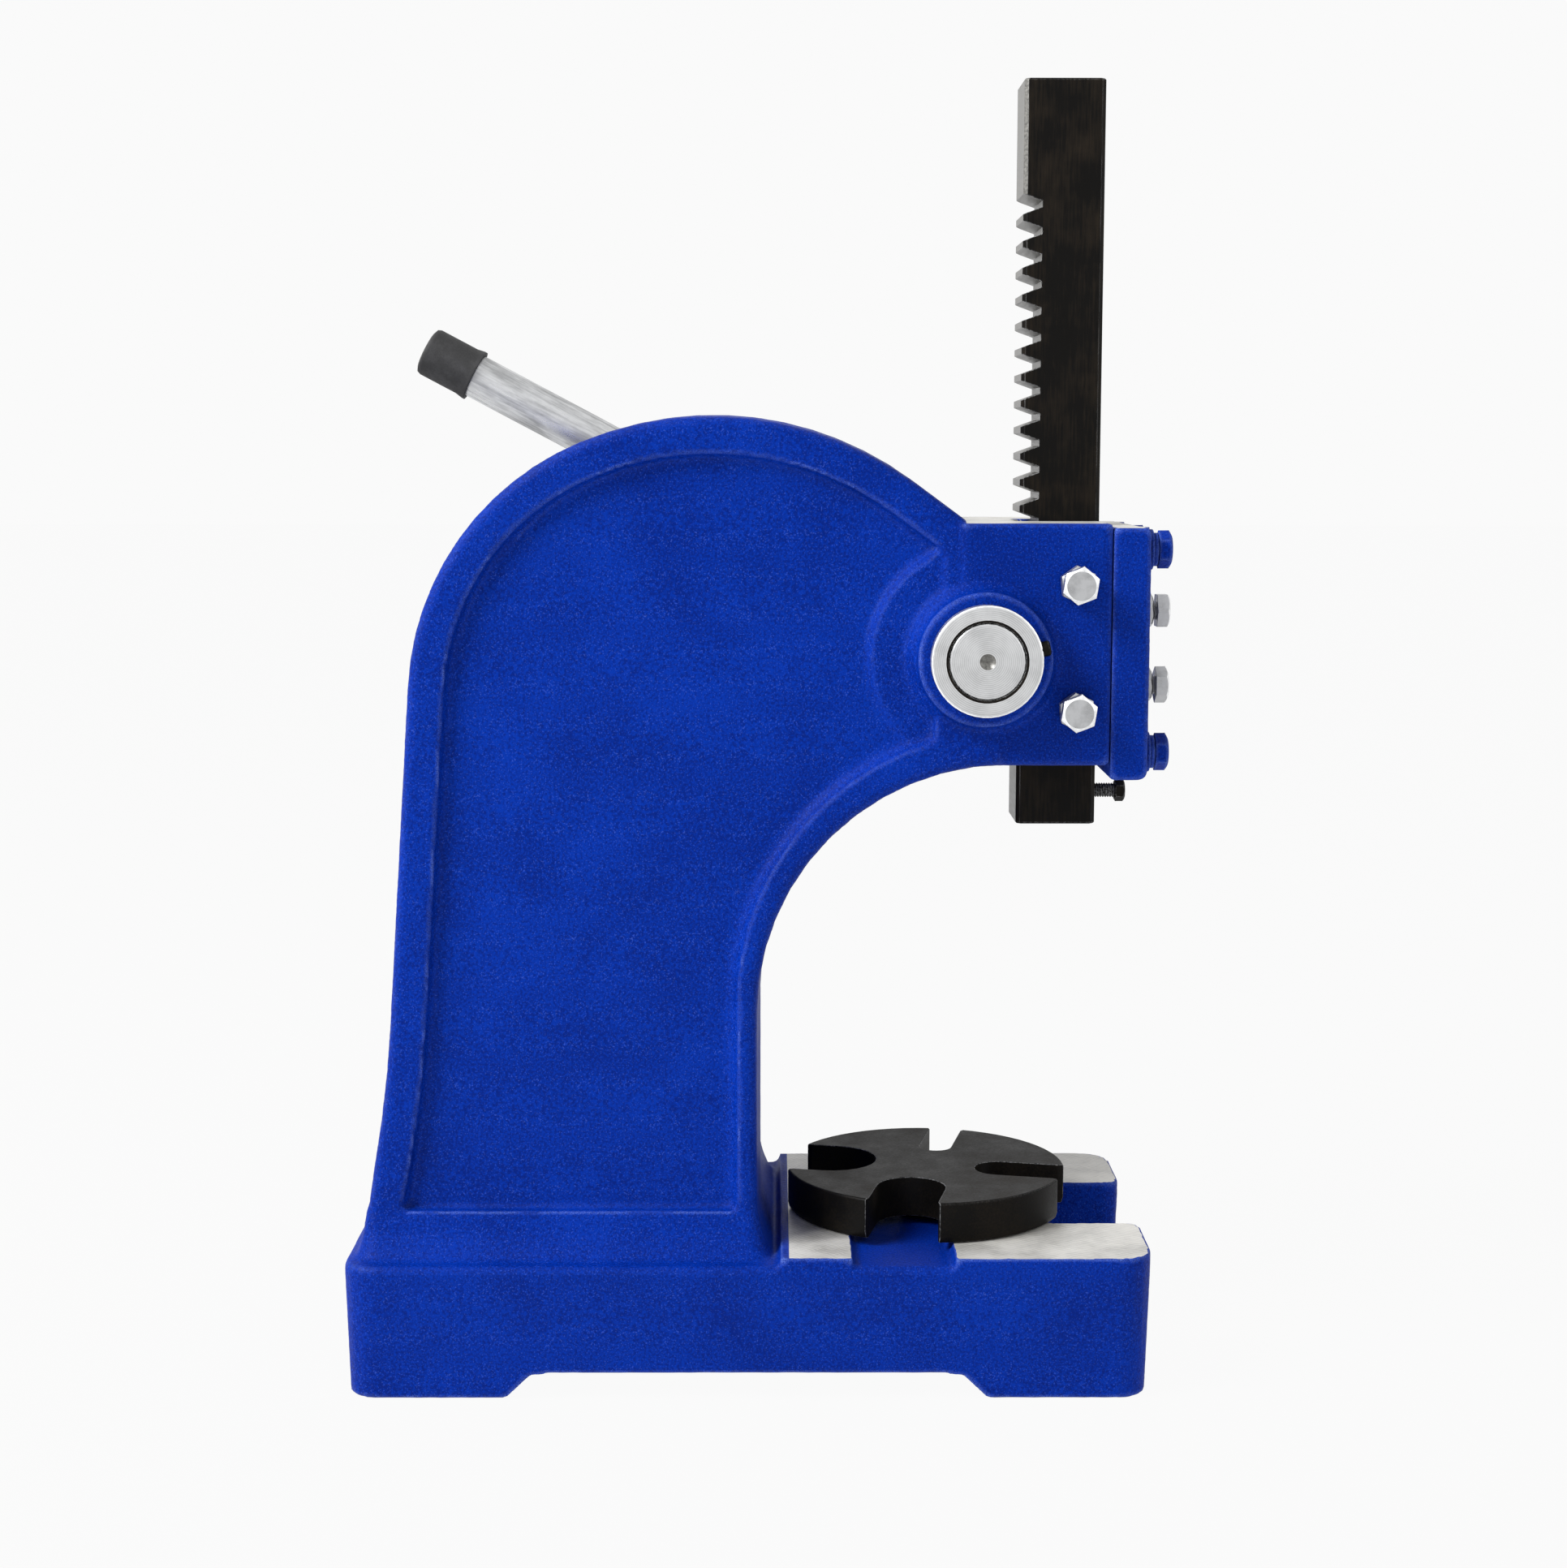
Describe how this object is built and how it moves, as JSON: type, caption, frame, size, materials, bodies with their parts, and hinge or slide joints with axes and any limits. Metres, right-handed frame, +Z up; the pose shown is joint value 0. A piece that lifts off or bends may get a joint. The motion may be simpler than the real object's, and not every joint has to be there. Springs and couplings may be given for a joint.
{
  "type": "arbor press",
  "caption": "Hand arbor press: painted cast C frame, toothed square ram driven by a pinion shaft with a sliding lever, and a slotted turning plate on the forked base.",
  "frame": {"origin": "middle of the rear foot's underside, at bench level, on the casting's middle plane", "axes": "+X to the front of the press, where the ram is, +Y to the lever's side, +Z up along the ram"},
  "size_m": [0.3302, 0.189, 0.5149],
  "materials": {
    "frame_paint": "hammered gloss blue enamel on cast iron",
    "cover_paint": "gloss blue enamel",
    "bolt_paint": "gloss blue enamel over hardware",
    "zinc_bolts": "bright zinc",
    "gib_steel": "ground steel",
    "ram_oxide": "black oxide, satin",
    "screw_oxide": "black oxide",
    "plate_oxide": "black oxide, satin",
    "shaft_steel": "turned steel",
    "lever_steel": "drawn bright steel",
    "cap_rubber": "matte moulded rubber"
  },
  "bodies": {
    "press_body": {"frame_casting": "frame_paint", "cover_plate": "cover_paint", "cover_bolt_1": "bolt_paint", "cover_bolt_2": "bolt_paint", "cover_bolt_3": "bolt_paint", "cover_bolt_4": "bolt_paint", "cover_washer_1": "bolt_paint", "cover_washer_2": "bolt_paint", "cover_washer_3": "bolt_paint", "cover_washer_4": "bolt_paint", "cover_spring_washer_1": "bolt_paint", "cover_spring_washer_2": "bolt_paint", "cover_spring_washer_3": "bolt_paint", "cover_spring_washer_4": "bolt_paint", "front_adjuster_1": "zinc_bolts", "front_adjuster_2": "zinc_bolts", "front_lock_nut_1": "zinc_bolts", "front_lock_nut_2": "zinc_bolts", "front_washer_1": "zinc_bolts", "front_washer_2": "zinc_bolts", "side_adjuster_1": "zinc_bolts", "side_adjuster_2": "zinc_bolts", "side_lock_nut_1": "zinc_bolts", "side_lock_nut_2": "zinc_bolts", "front_gib": "gib_steel", "side_gib": "gib_steel"},
    "pinion": {"pinion_shaft": "shaft_steel", "shaft_collar": "shaft_steel", "collar_set_screw": "screw_oxide"},
    "lever": {"lever_rod": "lever_steel", "lever_cap_upper": "cap_rubber", "lever_cap_lower": "cap_rubber"},
    "ram": {"ram": "ram_oxide"},
    "clamp_screw": {"tool_clamp_screw": "screw_oxide"},
    "arbor_plate": {"arbor_plate": "plate_oxide"}
  },
  "joints": [
    {"name": "pinion_turn", "type": "hinge", "parent": "press_body", "child": "pinion", "pos_m": [0.2175, 0, 0.2903], "axis": [0, 1, 0], "range_deg": [-15, 422]},
    {"name": "ram_slide", "type": "slide", "parent": "press_body", "child": "ram", "axis": [0, 0, -1], "range_m": [-0.0052, 0.1459]},
    {"name": "lever_slide", "type": "slide", "parent": "pinion", "child": "lever", "axis": [-0.8842, 0, 0.4672], "range_m": [-0.215, 0.031]},
    {"name": "clamp_screw_travel", "type": "slide", "parent": "ram", "child": "clamp_screw", "axis": [-1, 0, 0], "range_m": [0, 0.006]},
    {"name": "plate_turn", "type": "hinge", "parent": "press_body", "child": "arbor_plate", "pos_m": [0.1994, 0, 0.0574], "axis": [0, 0, 1], "continuous": true}
  ],
  "couplings": [
    {"joint": "ram_slide", "follows": "pinion_turn", "m_per_rad": 0.0198}
  ]
}
